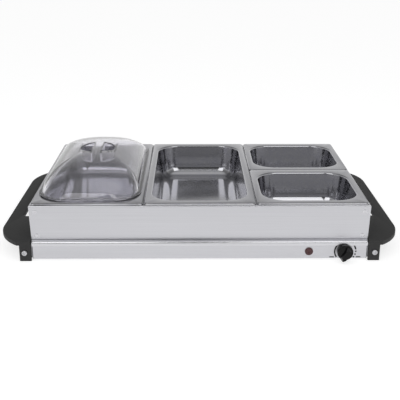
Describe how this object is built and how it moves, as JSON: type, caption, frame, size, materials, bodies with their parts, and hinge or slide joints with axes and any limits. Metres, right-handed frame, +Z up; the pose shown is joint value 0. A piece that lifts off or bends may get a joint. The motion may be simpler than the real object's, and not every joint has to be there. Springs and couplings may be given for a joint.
{
  "type": "buffet server",
  "caption": "Countertop food warmer: a heated steel base with carrying handles and a thermostat knob, a lift-off frame of deep steel pans, and a clear lift-off lid with a recessed grip.",
  "frame": {"origin": "centre of the bounding box at table level, under the legs", "axes": "+X to the right along the length, +Y to the back, +Z up; the knob and lamp face -Y"},
  "size_m": [0.6456, 0.3984, 0.1371],
  "materials": {
    "satin_steel": "satin, rolled sheet",
    "polished_steel": "bright, deep drawn",
    "zinc_plated_steel": "zinc plated",
    "galvanised_sheet": "galvanised",
    "aluminium_sheet": "mill finish",
    "element_steel": "heat-darkened",
    "brass": "turned",
    "black_phenolic": "moulded, fine matt texture",
    "black_moulding": "moulded satin",
    "clear_plastic": "clear, glossy",
    "red_lens": "translucent dark red",
    "lamp_glass": "clear",
    "white_insulator": "moulded matt",
    "brown_insulation": "extruded sleeve",
    "blue_insulation": "extruded sleeve",
    "green_insulation": "extruded sleeve"
  },
  "bodies": {
    "base": {"base_top_plate": "satin_steel", "base_housing": "satin_steel", "bottom_cover": "galvanised_sheet", "bottom_screw_front_left": "zinc_plated_steel", "bottom_screw_front_right": "zinc_plated_steel", "bottom_screw_rear_left": "zinc_plated_steel", "bottom_screw_rear_right": "zinc_plated_steel", "heat_spreader": "aluminium_sheet", "heating_element": "element_steel", "element_clamp_1": "aluminium_sheet", "element_clamp_2": "aluminium_sheet", "element_clamp_3": "aluminium_sheet", "element_clamp_4": "aluminium_sheet", "heat_shield": "aluminium_sheet", "thermostat_body": "white_insulator", "thermostat_screw_left": "zinc_plated_steel", "thermostat_screw_right": "zinc_plated_steel", "indicator_lens": "red_lens", "indicator_lamp": "lamp_glass", "indicator_push_nut": "zinc_plated_steel", "terminal_block": "white_insulator", "terminal_screw_neutral": "brass", "terminal_screw_live": "brass", "terminal_screw_earth": "brass", "thermal_fuse": "white_insulator", "live_wire": "brown_insulation", "switched_wire_to_fuse": "brown_insulation", "switched_wire_to_element": "brown_insulation", "neutral_wire": "blue_insulation", "earth_wire": "green_insulation", "lamp_wire_neutral": "blue_insulation", "lamp_wire_live": "brown_insulation", "earth_screw": "zinc_plated_steel", "cord_gland": "black_moulding", "handle_left": "black_phenolic", "handle_right": "black_phenolic", "handle_bracket_front_left": "galvanised_sheet", "handle_bracket_front_right": "galvanised_sheet", "handle_bracket_rear_left": "galvanised_sheet", "handle_bracket_rear_right": "galvanised_sheet", "handle_screw_front_left": "zinc_plated_steel", "handle_screw_front_right": "zinc_plated_steel", "handle_screw_rear_left": "zinc_plated_steel", "handle_screw_rear_right": "zinc_plated_steel"},
    "tray_frame": {"frame_front_panel": "satin_steel", "frame_rear_panel": "satin_steel", "frame_left_end": "satin_steel", "frame_right_end": "satin_steel", "frame_divider_left": "satin_steel", "frame_divider_right": "satin_steel", "frame_cross_divider": "satin_steel"},
    "pan_left": {"pan_left": "polished_steel"},
    "pan_middle": {"pan_middle": "polished_steel"},
    "pan_rear_right": {"pan_rear_right": "polished_steel"},
    "pan_front_right": {"pan_front_right": "polished_steel"},
    "lid": {"pan_lid": "clear_plastic"},
    "knob": {"control_knob": "black_moulding", "thermostat_shaft": "zinc_plated_steel"}
  },
  "joints": [
    {"name": "frame_lift", "type": "slide", "parent": "base", "child": "tray_frame", "axis": [0, 0, 1], "range_m": [0, 0.1]},
    {"name": "pan_left_lift", "type": "slide", "parent": "tray_frame", "child": "pan_left", "axis": [0, 0, 1], "range_m": [0, 0.1]},
    {"name": "pan_middle_lift", "type": "slide", "parent": "tray_frame", "child": "pan_middle", "axis": [0, 0, 1], "range_m": [0, 0.1]},
    {"name": "pan_rear_right_lift", "type": "slide", "parent": "tray_frame", "child": "pan_rear_right", "axis": [0, 0, 1], "range_m": [0, 0.1]},
    {"name": "pan_front_right_lift", "type": "slide", "parent": "tray_frame", "child": "pan_front_right", "axis": [0, 0, 1], "range_m": [0, 0.1]},
    {"name": "lid_lift", "type": "slide", "parent": "pan_left", "child": "lid", "axis": [0, 0, 1], "range_m": [0, 0.1]},
    {"name": "knob_turn", "type": "hinge", "parent": "base", "child": "knob", "pos_m": [0.229, -0.17951, 0.01547], "axis": [0, 1, 0], "range_deg": [0, 300]}
  ]
}
